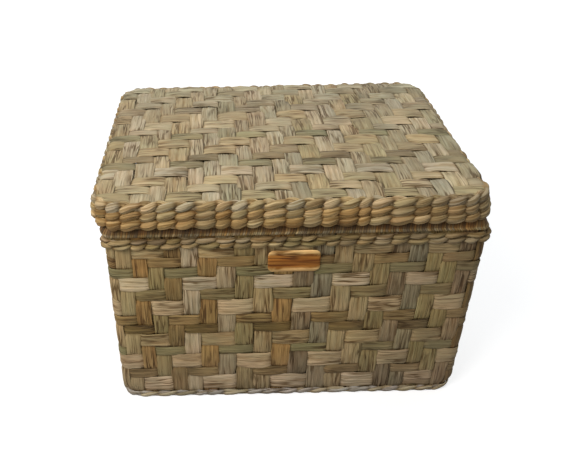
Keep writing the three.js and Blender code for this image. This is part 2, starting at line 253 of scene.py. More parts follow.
# Light and floor
LAMPS = {  # place, size, power and colour
    "overhead": ((0.35, 0.6, 2.1), 1.5, 19.6, (0.885, 0.95, 1)),
    "front_fill": ((-0.65, -0.65, 1.05), 0.7, 11.9, (1, 0.955, 0.92)),
}
LAMP_AIM = (0, 0, 0.12)
WORLD_LIGHT = 0.2  # on the object; the world itself is seen as white
FLOOR_HALF = 9
FLOOR_GREY = (0.5, 0.5, 0.5, 1)
FLOOR_ROUGHNESS = 0.9
FLOOR_GLOW = (0.7, 0.95)  # near the object and far off, for the camera alone
GLOW_RANGE = (0.4, 2)  # how far off those are
WHITE = (1, 1, 1, 1)

# First seeds of the random draws
SEEDS = {
    "rim_rows": 300, "foot_row": 400, "rim_wrap": 500, "lid_rows": 600, "base_weave": 700,
    "base_rod": 900, "corner_rods": 910, "tag": 950, "straps": 960, "uprights": 1000,
    "level_strips": 2000, "lid_long_strips": 3000, "lid_cross_strips": 3100, "lid_gaps": 3200,
}
LOBE_SEEDS = {"rim": (30, 31), "foot": 40, "lid": (60, 60, 60)}  # the lid's rows are in step
NEXT_ROW = 10  # between the seeds of two rows
NEXT_LAYER = 100  # between the seeds of long and cross strips

# Camera, fitted to the photograph's outline
IMAGE_WIDTH = 580
FOCAL_PIXELS = 675
SHIFT_PIXELS = (69, 7.4)  # of the picture's middle, to the right and up: the photograph is a crop
SENSOR = 36
CAMERA_PLACE = (-0.0747, -0.719, 0.580)
CAMERA_TURN = (0.08, 33.27, -1.26)  # to the right, down and rolled, in degrees

# Leaf colours in plain light, red, green and blue from 0 to 255
LEAF_COLOURS = {
    "white": (208, 190, 162), "pale": (193, 172, 139), "pink": (186, 168, 142), "tan": (173, 153, 116),
    "amber": (162, 131, 84), "olive": (151, 136, 97), "green": (140, 131, 96), "grey": (152, 142, 117),
    "brown": (134, 110, 74), "ash": (166, 151, 124), "moss": (124, 116, 80), "dusk": (145, 127, 101),
    "bone": (178, 167, 146), "hay": (178, 166, 144), "oak": (148, 124, 83), "bark": (120, 101, 63),
    "frost": (174, 168, 166), "dust": (168, 150, 134), "gold": (180, 151, 105), "straw": (200, 178, 138),
    "leather": (166, 109, 44), "buff": (228, 188, 132),
}
FRONT_STAKES = (
    "tan amber olive oak pink amber ash olive tan amber "
    "dusk grey tan tan olive dusk grey olive olive dusk"
).split()
OTHER_STAKES = "tan amber grey pink tan olive brown pale".split()
WALL_WEFTS = "white oak pale green tan bark oak pale olive white green oak tan".split()
LID_WEFTS = "olive ash tan bone moss bark tan tan moss ash pink tan grey grey bone grey bone".split()
LID_COLUMNS = (
    "tan bone ash ash tan pink bone grey ash pink bone "
    "grey olive pink bone pale olive ash ash bone white grey"
).split()
TOP_TWINE = "pale straw hay tan bone pale".split()
TWINE = "gold tan gold straw tan gold straw amber gold".split()
RIM_TWINE = "olive ash tan dusk tan".split()
FOOT_TWINE = "frost bone frost".split()
WRAP = "dusk tan ash amber oak".split()
CANE_TONES = "amber brown".split()
STRAP = "brown amber".split()

# Twined rows: colours, lean and tall as shares of the row's height, dark (the brightness left under the
# painted shade at the lobes' ends), outward and raised
RIM_ROWS = {
    "lower": (RIM_TWINE, 0.4, 0.55, 0.55, RIM_OUT, -0.7 * MM),
    "upper": (RIM_TWINE, 0.3, 0.4, 0.55, RIM_OUT, -1.7 * MM),
}
LID_ROWS = {
    "lower": (TWINE, 0.5, 0.66, 0.5, 1.3 * MM, 2.0 * MM),
    "middle": (TWINE, 0.55, 0.66, 0.52, 0.8 * MM, 2.9 * MM),
    "upper": (TOP_TWINE, 0.7, 0.6, 0.55, -0.6 * MM, 3.2 * MM),
}


def linear(name):
    """A named colour as linear light."""
    c = np.asarray(LEAF_COLOURS[name], float) / 255
    return np.where(c <= 0.04045, c / 12.92, ((c + 0.055) / 1.055) ** 2.4)


def bottom(node):
    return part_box(node)[0].z


def top(node):
    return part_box(node)[1].z


def wander(rng, s, wavelength, amount):
    """A smooth random wave along lengths s."""
    total = np.zeros_like(s)
    for share in WAVES:
        total += share * np.sin(2 * np.pi * s / (wavelength * share) + rng.uniform(0, 2 * np.pi))
    return amount * total / WAVES_HEIGHT


def smooth(x, start=0, end=1):
    """A soft step from 0 at start to 1 at end."""
    x = np.clip((x - start) / (end - start), 0, 1)
    return x * x * (3 - 2 * x)


def unit(vectors):
    return vectors / np.linalg.norm(vectors, axis=-1, keepdims=True)


def draws(name, i=0):
    """The random draws of one piece."""
    return np.random.default_rng(SEEDS[name] + i)


def circle(sides):
    """Angles of points round a circle."""
    return np.linspace(0, 2 * np.pi, sides, endpoint=False)


def tube(points, out, up, deep, tall):
    """Rings of points round a line."""
    around = circle(SIDES)
    rows = points[:, None] + out[:, None] * (deep * np.cos(around))[..., None]
    return rows + up[:, None] * (tall * np.sin(around))[..., None]


def drawn_tones(rng, names, count):
    """Colours drawn from named ones."""
    return np.array([linear(name) for name in names])[rng.integers(len(names), size=count)]


def lengths(points):
    """Length along a row of points, from its first one."""
    return np.concatenate([[0], np.cumsum(np.linalg.norm(np.diff(points, axis=0), axis=1))])


class Outline:
    """A rounded rectangle seen from above, followed from the left end of its front past the right side."""

    def __init__(self, half_x, half_y, radius):
        self.half = np.array([half_x, half_y])
        self.radius = radius
        self.runs = np.tile(2 * (self.half - radius), 2)
        self.starts = np.concatenate([[0], np.cumsum(self.runs + radius * np.pi / 2)])
        self.length = self.starts[-1]

    def at(self, u):
        """Points at lengths u, and the directions out of the outline there."""
        u = np.mod(u, self.length)
        side = np.clip(np.searchsorted(self.starts, u, side="right") - 1, 0, 3)
        past = u - self.starts[side]
        run = self.runs[side]
        angle = np.maximum(0, past - run) / self.radius
        reach = np.where(side % 2, self.half[0], self.half[1])
        x = np.minimum(past, run) - run / 2 + self.radius * np.sin(angle)
        y = -(reach - self.radius) - self.radius * np.cos(angle)
        turn = side * np.pi / 2
        cos, sin = np.cos(turn), np.sin(turn)
        points = np.stack([x * cos - y * sin, x * sin + y * cos, 0 * x], -1)
        normals = np.stack([np.sin(turn + angle), -np.cos(turn + angle), 0 * x], -1)
        return points, normals

    def reach(self, axis, other):
        """How far the outline reaches on one axis at distances along the other."""
        past = np.clip(np.abs(other) - (self.half[1 - axis] - self.radius), 0, self.radius)
        return self.half[axis] - self.radius + np.sqrt(self.radius**2 - past**2)


def twill(step):
    """1 where a weft passes over, -1 where it passes under."""
    return np.where(step % (2 * FLOAT) < FLOAT, -1, 1)


def weave_lift(rng, s, edges, sides, ends):
    """The rise along s of a strip that crosses others, on side 1 or -1 of each; edges part those others."""
    lift = np.full_like(s, ends)
    for edge, step in zip(edges, np.diff(np.concatenate([[ends], sides, [ends]]))):
        lift += step * smooth(s, edge - TURN, edge + TURN)
    turns = np.flatnonzero(np.diff(sides)) + 1
    for first, last in zip([0, *turns], [*turns, len(sides)]):
        t = np.clip((s - edges[first]) / (edges[last] - edges[first]), 0, 1)
        lift += sides[first] * rng.uniform(*PUFF_RANGE) * PUFF / SWING * np.sin(np.pi * t)
    return SWING * lift


def on_line(path, normal):
    """Puts a strip's points beside and above a path."""
    across = np.cross(normal, unit(np.gradient(path, axis=0)))

    def place(sideways, height):
        beside = path[:, None] + across[:, None] * sideways[..., None]
        return beside + normal[:, None] * height[..., None]

    return place


def on_wall(outline, u, z):
    """Puts an upright strip's points on a wall, at length u along its outline, bent with it."""

    def place(sideways, height):
        points, normals = outline.at(u - sideways)
        points += normals * height[..., None]
        points[..., 2] = z[:, None]
        return points

    return place


def leaf(rng, s, place, half_width, lift, colour, thickness=LEAF):
    """A flat leaf of lengths s: creased lengthways, with uneven edges and a slight roll and lean."""
    v = np.linspace(-1, 1, COLUMNS)
    half = half_width * rng.uniform(*WIDTH_RANGE) * (1 + wander(rng, s, *WIDTH_WANDER))
    lean = rng.normal(0, LEAN) * (s / s[-1] - 0.5) + wander(rng, s, *LEAN_WANDER)
    sideways = v * half[:, None] + lean[:, None]
    for side in (-1, 1):
        sideways += wander(rng, s, *EDGE_WANDER)[:, None] * (1 + side * v) / 2
    roll = half * wander(rng, s, *ROLL_WANDER)
    height = lift[:, None] - CROWN * np.abs(v) ** CROWN_POWER + v * roll[:, None]
    hollow = np.zeros_like(height)
    rough = rng.uniform(*FOLD_ROUGHNESS)
    for kind in rng.permutation(FOLDS)[: rng.integers(*FOLD_COUNTS)]:
        middle = rng.uniform(-FOLD_REACH, FOLD_REACH) + wander(rng, s, *FOLD_WANDER)
        depth = rough * rng.uniform(*FOLD_DEPTH)
        depth = depth * np.clip(FADE_MIDDLE + wander(rng, s, *FADE_WANDER), 0, FADE_MOST)
        distance = np.abs(v - middle[:, None])
        shape = np.exp(-((distance / RIDGE_WIDTH) ** 2)) if kind > 0 else np.exp(-distance / CREASE_WIDTH)
        height += kind * depth[:, None] * shape
        hollow += (kind < 0) * depth[:, None] * shape
    upper = place(sideways, height)
    lower = place(sideways, height - thickness * (1 - THIN_EDGE * v**2))
    # painted shade where the strip dives under the strips it crosses
    dive_shade = 1 - DIVE_PAINTED_SHADE * (1 - smooth(lift / SWING, *DIVE))
    tint = colour * rng.normal(1, TONE_SPREAD) * rng.normal(1, TINT_SPREAD, 3)
    tint = tint * (1 + sum(wander(rng, s, *waves) for waves in TONE_WANDERS))[:, None]
    tint = tint * (1 + wander(rng, s, *WARMTH_WANDER)[:, None] * WARMTH)
    # painted shade along the edges, beside the gaps between strips
    edge = 1 - EDGE_PAINTED_SHADE * np.abs(v) ** EDGE_POWER
    # painted shade in the creases, by their depth
    crease = 1 - CREASE_PAINTED_SHADE * np.clip(hollow / CREASE_FULL, 0, 1)
    # the painted shade is warmer where it is darker
    paint = tint[:, None] * (dive_shade[:, None] * edge * crease)[..., None] ** PAINTED_SHADE_WARMTH
    return surface(
        rng,
        np.concatenate([upper, lower[:, ::-1]], 1),
        s[:, None],
        np.concatenate([sideways, sideways[:, ::-1] + half_width * UNDERSIDE], 1),
        np.concatenate([paint, paint[:, ::-1]], 1),
    )


def surface(rng, rows, along, across, paint):
    """A closed surface through rings of points, with each point's place on its strip and its colour."""
    place = np.zeros(rows.shape)
    place[..., 0] = along
    place[..., 1] = across
    place += rng.uniform(0, PATTERN_SPREAD, 3)
    length = lengths(rows[:, 0])
    return {"rows": rows, "length": length, "place": place, "paint": np.clip(paint, 0, 1)}


def faces(part, first):
    """The quads of a surface, and for their corners the length along it and the share around it."""
    m, n = part["rows"].shape[:2]
    i, j = np.meshgrid(np.arange(m - 1), np.arange(n), indexing="ij")
    k = (j + 1) % n
    quads = np.stack([i * n + j, (i + 1) * n + j, (i + 1) * n + k, i * n + k], -1).reshape(-1, 4)
    s = part["length"]
    along = np.stack([s[i], s[i + 1], s[i + 1], s[i]], -1).reshape(-1, 4)
    around = np.stack([j, j, j + 1, j + 1], -1).reshape(-1, 4) / n
    e = np.arange(n // 2 - 1)
    cap = np.stack([e, e + 1, n - 2 - e, n - 1 - e], -1)
    quads = np.concatenate([quads, cap, cap[:, ::-1] + (m - 1) * n])
    along = np.concatenate([along, np.zeros((len(e), 4)), np.full((len(e), 4), s[-1])])
    around = np.concatenate([around, cap / n, cap[:, ::-1] / n])
    return quads + first, along, around


def settle_lid(rows):
    """The lid lies a little to the left, and the upper edge of its right side is pressed in."""
    x, y, z = np.moveaxis(rows, -1, 0)
    right = smooth(x / lid_outline.half[0], *PRESS_SIDE)
    forward = smooth(y, *PRESS_DEPTH)
    high = smooth(z - lid_sheet, *PRESS_HEIGHT)
    rows[..., 0] += LID_SHIFT - LID_PRESS * right * forward * high


def settle_box(rows):
    """The right wall leans out, the hoop above it is drawn in, and the foot is tucked in at the corners."""
    place, z = rows[..., :2], rows[..., 2]
    hoop = smooth(z, hoop_low, (hoop_low + hoop_high) / 2)
    right = smooth(place[..., 0], 0, walls.half[0])
    lean = WALL_LEAN * (smooth(z, 0, hoop_high) - HOOP_DRAWN * hoop) * right
    corner = smooth(np.abs(place), walls.half - FOOT_TUCK_LENGTH, walls.half).prod(-1)
    tuck = FOOT_TUCK * (1 - smooth(z, 0, FOOT_TUCK_HEIGHT)) * corner
    place -= tuck[..., None] * np.sign(place)
    place[..., 0] += lean


def new_object(name, data):
    """An object in the scene."""
    made = bpy.data.objects.new(name, data)
    bpy.context.scene.collection.objects.link(made)
    return made


def skin(name, parts, material, body, nodes):
    """One piece of the object from closed surfaces, which rides on a body and stands for CAD nodes."""
    for part in parts:
        if body == "lid":
            settle_lid(part["rows"])
        if body == "box":
            settle_box(part["rows"])
    girth = np.mean([lengths(p["rows"][0])[-1] for p in parts])
    line = math.sqrt(sum(p["length"][-1] for p in parts) * girth)
    quads, uvs = [], []
    first, lines = 0, 0
    for part in parts:
        quad, along, around = faces(part, first)
        fold = np.floor(along.min(1) / line)[:, None]
        across = lines + fold + UV_MARGIN + (1 - 2 * UV_MARGIN) * around
        uvs.append(np.stack([(along - fold * line) / (UV_SPARE * line), across], -1))
        quads.append(quad)
        lines += fold.max() + 1
        first += part["rows"][..., 0].size
    quads = np.concatenate(quads)
    uvs = np.concatenate(uvs)
    uvs[..., 1] /= lines

    def joined(key):
        return np.concatenate([p[key].reshape(-1, 3) for p in parts])

    mesh = bpy.data.meshes.new(name)
    mesh.vertices.add(first)
    mesh.vertices.foreach_set("co", joined("rows").reshape(-1))
    mesh.loops.add(quads.size)
    mesh.loops.foreach_set("vertex_index", quads.reshape(-1).astype(np.int32))
    mesh.polygons.add(len(quads))
    mesh.polygons.foreach_set("loop_start", np.arange(0, quads.size, 4, dtype=np.int32))
    mesh.update(calc_edges=True)
    mesh.shade_smooth()
    place = mesh.attributes.new("strip_place", "FLOAT_VECTOR", "POINT")
    place.data.foreach_set("vector", joined("place").reshape(-1))
    colour = mesh.attributes.new("strip_colour", "FLOAT_COLOR", "POINT")
    colour.data.foreach_set("color", np.c_[joined("paint"), np.ones(first)].reshape(-1))
    mesh.uv_layers.new(name="OFBake").data.foreach_set("uv", uvs.reshape(-1))
    mesh.materials.append(material)
    piece = new_object(name, mesh)
    if body:
        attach(piece, body)
    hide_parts(*nodes)
    return piece


# Materials


def node(tree, kind, inputs=None, **settings):
    """A shader node with its settings, and its inputs set or linked."""
    made = tree.nodes.new("ShaderNode" + kind)
    for key, value in settings.items():
        setattr(made, key, value)
    for key, value in (inputs or {}).items():
        if isinstance(value, bpy.types.NodeSocket):
            tree.links.new(value, made.inputs[key])
        else:
            made.inputs[key].default_value = value
    return made


def new_material(name):
    material = bpy.data.materials.new(name)
    material.use_nodes = True
    return material, material.node_tree, material.node_tree.nodes["Principled BSDF"]


def streaks(tree, place, along, across, detail, distortion=0):
    """Noise drawn out along a strip; along and across are waves per metre."""
    scaled = node(tree, "VectorMath", {0: place, 1: (along, across, 1)}, operation="MULTIPLY")
    noise = {"Vector": scaled.outputs[0], "Scale": 1, "Detail": detail, "Distortion": distortion}
    return node(tree, "TexNoise", noise).outputs["Fac"]


def rescale(tree, value, start, end, low=0, high=1):
    """A value from start to end, brought to low to high."""
    limits = {"Value": value, "From Min": start, "From Max": end, "To Min": low, "To Max": high}
    return node(tree, "MapRange", limits).outputs[0]


def ramp(tree, value, places, colours):
    """Colours for a value: the first up to the first place, the second from the second place on."""
    spread = node(tree, "ValToRGB", {"Fac": value})
    for stop, place, colour in zip(spread.color_ramp.elements, places, colours):
        stop.position = place
        stop.color = (*colour, 1)
    return spread.outputs["Color"]


def mix(tree, a, b, factor=1, blend="MULTIPLY"):
    made = node(tree, "Mix", {"Factor": factor, 6: a, 7: b}, data_type="RGBA", blend_type=blend)
    return made.outputs[2]


def cracks(tree, place, along, across, width):
    """Hairlines that wander along a strip, sunk by the bump and darkened with painted shade: 0 on a line, 1
    beside it.
    """
    noise = streaks(tree, place, along, across, 2, CRACK_DISTORTION)
    off = node(tree, "Math", {0: noise, 1: 0.5}, operation="SUBTRACT")
    off = node(tree, "Math", {0: off.outputs[0]}, operation="ABSOLUTE")
    return rescale(tree, off.outputs[0], width / CRACK_CORE, width)


def leaf_material(name, ridge_waves, bump, contrast, cracked):
    """Dry leaf: long ridges and fibres, blotches of green and straw, and patches of wrinkles; painted shade
    darkens the ridges' hollows and the wrinkles' grooves, and a painted highlight lightens the ridges'
    crests, over the leaf's own streaks.
    """
    material, tree, shader = new_material(name)
    place = node(tree, "Attribute", attribute_name="strip_place").outputs["Vector"]
    colour = node(tree, "Attribute", attribute_name="strip_colour").outputs["Color"]
    ridges = streaks(tree, place, RIDGES_ALONG, ridge_waves, 2)
    fibres = streaks(tree, place, FIBRES_ALONG, FIBRES_ACROSS * ridge_waves, 3)
    blotches = streaks(tree, place, *BLOTCHES, 3)
    patches = streaks(tree, place, *PATCHES, 2)
    wrinkles = cracks(tree, place, CRACKS_ALONG, CRACKS_ACROSS * ridge_waves, CRACK_WIDTH)
    # The ridges' colour follows their bump: darker hollows and lighter crests, partly the leaf's own
    # streaks and partly painted shade and highlight
    ridge_streaks_and_shading = [1 - contrast * share for share in RIDGE_DARK_STREAKS_AND_SHADE], [1 + RIDGE_LIGHT_STREAKS_AND_HIGHLIGHT * contrast] * 3
    colour = mix(tree, colour, ramp(tree, ridges, RIDGE_RAMP, ridge_streaks_and_shading))
    colour = mix(tree, colour, ramp(tree, fibres, FIBRE_RAMP, FIBRE_TONES))
    straw = mix(tree, colour, STRAW_BLOTCH)
    green = mix(tree, colour, GREEN_BLOTCH)
    colour = mix(tree, green, straw, ramp(tree, blotches, BLOTCH_RAMP, ((0,) * 3, (1,) * 3)), "MIX")
    where = ramp(tree, patches, PATCH_RAMP, ((0,) * 3, (cracked,) * 3))
    # painted shade in the wrinkles' grooves, where the bump sinks them
    crack_shaded = mix(tree, colour, ramp(tree, wrinkles, (0, 1), (CRACK_PAINTED_SHADE, (1,) * 3)))
    colour = mix(tree, colour, crack_shaded, where, "MIX")
    tree.links.new(colour, shader.inputs["Base Color"])
    rough = rescale(tree, fibres, 0, 1, *LEAF_ROUGHNESS)
    tree.links.new(rough, shader.inputs["Roughness"])
    shader.inputs["Specular IOR Level"].default_value = LEAF_GLOSS
    bumps = ((fibres, FIBRE_BUMP, FIBRE_DEPTH), (wrinkles, cracked, CRACK_DEPTH), (ridges, RIDGE_BUMP, 1))
    below = {}
    for height, strength, depth in bumps:
        inputs = {"Height": height, "Strength": strength, "Distance": depth * bump, **below}
        below = {"Normal": node(tree, "Bump", inputs).outputs[0]}
    tree.links.new(below["Normal"], shader.inputs["Normal"])
    return material


STRIP_LEAF = leaf_material("strip_leaf", ridge_waves=340, bump=1.4 * MM, contrast=0.18, cracked=1)
TWINED_LEAF = leaf_material("twined_leaf", ridge_waves=430, bump=1.4 * MM, contrast=0.42, cracked=0.6)
WRAPPED_LEAF = leaf_material("wrapped_leaf", ridge_waves=600, bump=0.6 * MM, contrast=0.16, cracked=0.3)
CANE = leaf_material("cane", ridge_waves=260, bump=0.3 * MM, contrast=0.16, cracked=0.2)
TAG_LEATHER = leaf_material("tag_leather", ridge_waves=240, bump=0.4 * MM, contrast=0.6, cracked=1)


# Body walls

wall_half_x = (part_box("stakes_right")[0].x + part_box("stakes_right")[1].x) / 2
wall_half_y = (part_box("stakes_back")[0].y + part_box("stakes_back")[1].y) / 2
walls = Outline(wall_half_x, wall_half_y, WALL_RADIUS)
hoop_low, hoop_high = bottom("rim_hoop"), top("rim_hoop")
weft_nodes = sorted(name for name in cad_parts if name.startswith("weft_"))
weft_edges = np.array([bottom(name) for name in weft_nodes] + [top(weft_nodes[-1])])
weft_edges[:2] -= np.array([1, 0.5]) * FOOT_DROP  # the lowest weft also gets wider


def stake_gaps(i, count):
    """Lengths along a wall at the gaps between its stakes; the side walls' stakes go round the corners."""
    share = np.arange(count + 1) / count
    share = share - STAKE_SPREAD * np.sin(2 * np.pi * share)
    corner = (i % 2) * WALL_RADIUS * np.pi / 2
    return walls.starts[i] - corner + (walls.runs[i] + 2 * corner) * share


gaps = [stake_gaps(i, count) for i, count in enumerate(STAKES.values())]
stake_starts = np.concatenate([edges[:-1] for edges in gaps])
stake_ends = np.concatenate([edges[1:] for edges in gaps])


def stake_colour(i):
    """The other walls' stakes take their colours in a mixed order."""
    if i < len(FRONT_STAKES):
        return FRONT_STAKES[i]
    return OTHER_STAKES[(i * i + i // 3) % len(OTHER_STAKES)]


def lively(name):
    """A wall strip's colour, further from the walls' middle colour."""
    return np.maximum(linear(name) + LIVELY * (linear(name) - linear("dusk")), 0)


def dusty(part):
    """Greys a wall strip towards the floor."""
    dust = DUST * (1 - smooth(part["rows"][..., 2:], 0, DUST_HEIGHT))
    tint = linear("dust") / linear("dust").mean()
    part["paint"] += (part["paint"].mean(-1, keepdims=True) * tint - part["paint"]) * dust
    return part


def dulled(part):
    """Brings a level strip or twined row nearer to the walls' middle colour towards the right."""
    share = DULL * smooth(part["rows"][..., :1], 0, walls.half[0])
    part["paint"] += (linear("dusk") - part["paint"]) * share
    return part


def upright_strips():
    """Each upright begins behind the foot row and ends inside the hoop."""
    low, high = bottom("stakes_front") + UPRIGHT_START, hoop_low + UPRIGHT_END
    z = np.linspace(low, high, round((high - low) / STEP))
    rows = np.arange(len(weft_nodes))
    index = 0
    for side, count in STAKES.items():
        parts = []
        for i in range(index, index + count):
            rng = draws("uprights", i)
            place = on_wall(walls, (stake_starts[i] + stake_ends[i]) / 2, z)
            lift = weave_lift(rng, z, weft_edges, -twill(i + rows + TWILL_START), 0.0)
            half = (stake_ends[i] - stake_starts[i]) / 2
            parts.append(dusty(leaf(rng, z, place, half, lift, lively(stake_colour(i)))))
        skin(f"uprights_{side}", parts, STRIP_LEAF, "box", [f"stakes_{side}"])
        index += count


def level_strips():
    """Each weft begins and ends inside the back wall, in the middle of a float."""
    count = len(stake_starts)
    back = STAKES["front"] + STAKES["right"] + 2 * FLOAT
    for row, name in enumerate(weft_nodes):
        rng = draws("level_strips", row)
        begin = next(i for i in range(back, count) if (i + row + TWILL_START) % (2 * FLOAT) == 1)
        order = begin + np.arange(count + 1)
        edges = stake_starts[order % count] + walls.length * (order >= count)
        u = np.arange(edges[0], edges[-1], STEP)
        points, normals = walls.at(u)
        points[:, 2] = (weft_edges[row] + weft_edges[row + 1]) / 2 + wander(rng, u, *LEVEL_WANDER)
        lift = weave_lift(rng, u, edges, twill(order[:-1] % count + row + TWILL_START), -1.0)
        half = (weft_edges[row + 1] - weft_edges[row]) / 2
        part = leaf(rng, u - u[0], on_line(points, normals), half, lift, lively(WALL_WEFTS[row]))
        skin(f"level_strip_{row + 1:02d}", [dusty(dulled(part))], STRIP_LEAF, "box", [name])


upright_strips()
level_strips()


# Twined rows


def lobe_turns(outline, lobes, seed):
    """Lengths along a row and the angle of its twist there; lobes are of uneven length."""
    rng = np.random.default_rng(seed)
    u = np.linspace(0, outline.length, lobes * LOBE_STEPS + 1)
    uneven = sum(wander(rng, u, *waves) for waves in LOBE_WANDERS)
    return u, np.pi * lobes * u / outline.length + uneven * np.sin(np.pi * u / outline.length)


def strand(rng, outline, u, turn, middle, swing, size, colours, dark):
    """One of a row's two strands, which wind round each other; middle, swing and size are [out, up]."""
    wave = np.cos(turn)
    points, normals = outline.at(u + outline.starts[2] + outline.runs[2] / 2)
    points += normals * (middle[0] + swing[0] * np.sign(wave) * np.abs(wave) ** LOBE_BLUNT)[:, None]
    points[:, 2] = middle[1] + swing[1] * np.sin(turn) + wander(rng, u, *STRAND_WANDER)
    tangent = unit(np.gradient(points, axis=0))
    out = unit(normals - tangent * (normals * tangent).sum(1)[:, None])
    up = np.cross(out, tangent)
    lobe = np.floor(turn / np.pi + 0.5).astype(int)
    lobe -= lobe[0]
    lobes = lobe.max() + 1
    plump = 1 - STRAND_THIN * (1 - np.abs(wave) ** STRAND_PLUMP)
    deep = size[0] * plump
    tall = size[1] * plump * rng.normal(1, LOBE_SPREAD, lobes)[lobe]
    around = circle(SIDES)
    start = turn + rng.uniform(0, STRAND_TURN, lobes)[lobe]
    folds = 1 + STRAND_FOLD * np.sin(STRAND_FOLDS * around + start[:, None])
    rows = tube(points, out, up, deep[:, None] * folds, tall[:, None] * folds)
    s = lengths(points)
    tone = drawn_tones(rng, colours, lobes) * rng.normal(1, LOBE_SPREAD, (lobes, 1))
    # Painted shade: each lobe is darker at its ends, where it tucks behind the other strand
    shade = dark + (1 - dark) * smooth(LOBE_SHADE * np.abs(wave))
    # painted shade in the folds' hollows, painted highlight on their crests
    shade = shade[:, None] * (1 + STRAND_FOLD_PAINTED_SHADE * (folds - 1))
    paint = tone[lobe][:, None] * shade[..., None] ** PAINTED_SHADE_WARMTH
    twist = around * size[1] + STRAND_TWIST * s[:, None]
    return surface(rng, rows, s[:, None], twist, paint)


def two_strands(outline, length, seed, pattern, *shape):
    """A row's strands; pattern is the seed of its lobes."""
    lobes = 2 * round(outline.length / length / 2)
    u, turn = lobe_turns(outline, lobes, pattern)
    return [strand(np.random.default_rng(seed + i), outline, u, turn + i * np.pi, *shape) for i in (0, 1)]


def twined_row(name, outline, nodes, body, seed, pattern, look):
    """Two strands round the strips, raised at the front."""
    colours, lean, tall, dark, outward, raised = look
    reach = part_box(nodes[0])[1].x - outline.half[0]
    height = top(nodes[0]) - bottom(nodes[0])
    middle = (outward, (top(nodes[0]) + bottom(nodes[0])) / 2)
    swing = (reach * STRAND_OUT, height * lean / 2)
    size = (reach * STRAND_DEPTH, height * tall)
    parts = two_strands(outline, LOBE, seed, pattern, middle, swing, size, colours, dark)
    for part in parts:
        dulled(part)
        front = smooth(-part["rows"][..., 1] / outline.half[1], *FRONT)
        part["rows"][..., 2] += raised * front
    skin(name, parts, TWINED_LEAF, body, nodes)


def foot_row():
    """Two strands laid round each other outside the foot of the strips."""
    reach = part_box("foot_twine")[1].x - walls.half[0]
    height = top("foot_twine") - bottom("foot_twine") - FOOT_DROP
    middle, swing, size = np.array([FOOT_MIDDLE, FOOT_SWING, FOOT_SIZE]) * (reach, height)
    middle[1] += bottom("foot_twine")
    seeds = SEEDS["foot_row"], LOBE_SEEDS["foot"]
    parts = two_strands(walls, FOOT_LOBE * LOBE, *seeds, middle, swing, size, FOOT_TWINE, FOOT_PAINTED_SHADE)
    for part in parts:
        part["rows"][..., 2] = np.maximum(part["rows"][..., 2], bottom("foot_twine") + CLEAR)
    skin("foot_row", parts, TWINED_LEAF, "box", ["foot_twine"])


def twined_rows(kind, outline, body, looks):
    """The rows under the rim or round the lid, the lowest first."""
    for i, (row, look) in enumerate(looks.items()):
        nodes = [f"{kind}_twine_{row}_{face}" for face in ("outer", "inner")]
        seeds = SEEDS[f"{kind}_rows"] + NEXT_ROW * i, LOBE_SEEDS[kind][i]
        twined_row(f"{kind}_row_{row}", outline, nodes, body, *seeds, look)


twined_rows("rim", walls, "box", RIM_ROWS)
foot_row()


# Wrapped rim


def wrapped_rim():
    """A hoop wrapped in narrow leaf, whose turns lean and differ in width, height and tone; painted shade
    darkens the edges of its turns and its upper half under the lid.
    """
    rng = draws("rim_wrap")
    half_height = (hoop_high - hoop_low) / 2
    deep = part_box("rim_hoop")[1].x - walls.half[0]
    turns = round(walls.length / WRAP_WIDTH)
    ends = np.concatenate([[0], np.cumsum(rng.uniform(*WRAP_WIDTHS, turns))])
    ends *= walls.length / ends[-1]
    u = (ends[:-1, None] + np.diff(ends)[:, None] * WRAP_STEPS).reshape(-1)
    rise = WRAP_HEIGHT * (np.array(WRAP_RISE) * rng.uniform(*WRAP_HEIGHTS, (turns, 1))).reshape(-1, 1)
    around = circle(WRAP_SIDES)
    lean = u[:, None] + WRAP_LEAN * np.sin(around) + walls.starts[2]
    points, normals = walls.at(lean.reshape(-1))
    narrow = 1 - WRAP_TAPER * np.maximum(0, np.sin(around))
    out = ((deep + rise) * narrow * np.cos(around)).reshape(-1, 1)
    rows = (points + normals * out).reshape(len(u), len(around), 3)
    rows[..., 2] = hoop_low + half_height + (half_height + rise) * np.sin(around)
    tone = drawn_tones(rng, WRAP, turns) * rng.normal(*WRAP_TONE, (turns, 1))
    tone = tone * (1 + wander(rng, ends[:-1], *WRAP_WANDER))[:, None]
    # painted shade at the edges of each turn, where it meets the next
    paint = (tone[:, None] * np.array(WRAP_GAP_PAINTED_SHADE)[:, None]).reshape(-1, 1, 3)
    # painted shade on the upper half, under the lid's overhang
    under_lid_shade = 1 - WRAP_UNDER_LID_PAINTED_SHADE * smooth(np.sin(around), *WRAP_UNDER_LID_SHADE_SPAN)
    paint = paint * under_lid_shade[:, None] ** PAINTED_SHADE_WARMTH
    part = surface(rng, rows, around * half_height, u[:, None], paint)
    skin("rim_wrap", [part], WRAPPED_LEAF, "box", ["rim_hoop"])


wrapped_rim()


# Lid

lid_outline = Outline(*(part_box("lid_band")[1][axis] for axis in (0, 1)), LID_RADIUS)
lid_sheet = (bottom("lid_warps") + top("lid_warps")) / 2
lid_wefts = sorted(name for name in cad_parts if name.startswith("lid_weft_"))
lid_weft_edges = np.array([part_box(name)[0].y for name in lid_wefts] + [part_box(lid_wefts[-1])[1].y])
lid_warp_edges = np.linspace(-1, 1, LID_WARPS + 1) * lid_outline.half[0]
for i, (lid_edges, off) in enumerate(zip((lid_warp_edges, lid_weft_edges), UNEVEN)):
    lid_edges[1:-1] += draws("lid_gaps", NEXT_LAYER * i).uniform(-off, off, len(lid_edges) - 2)


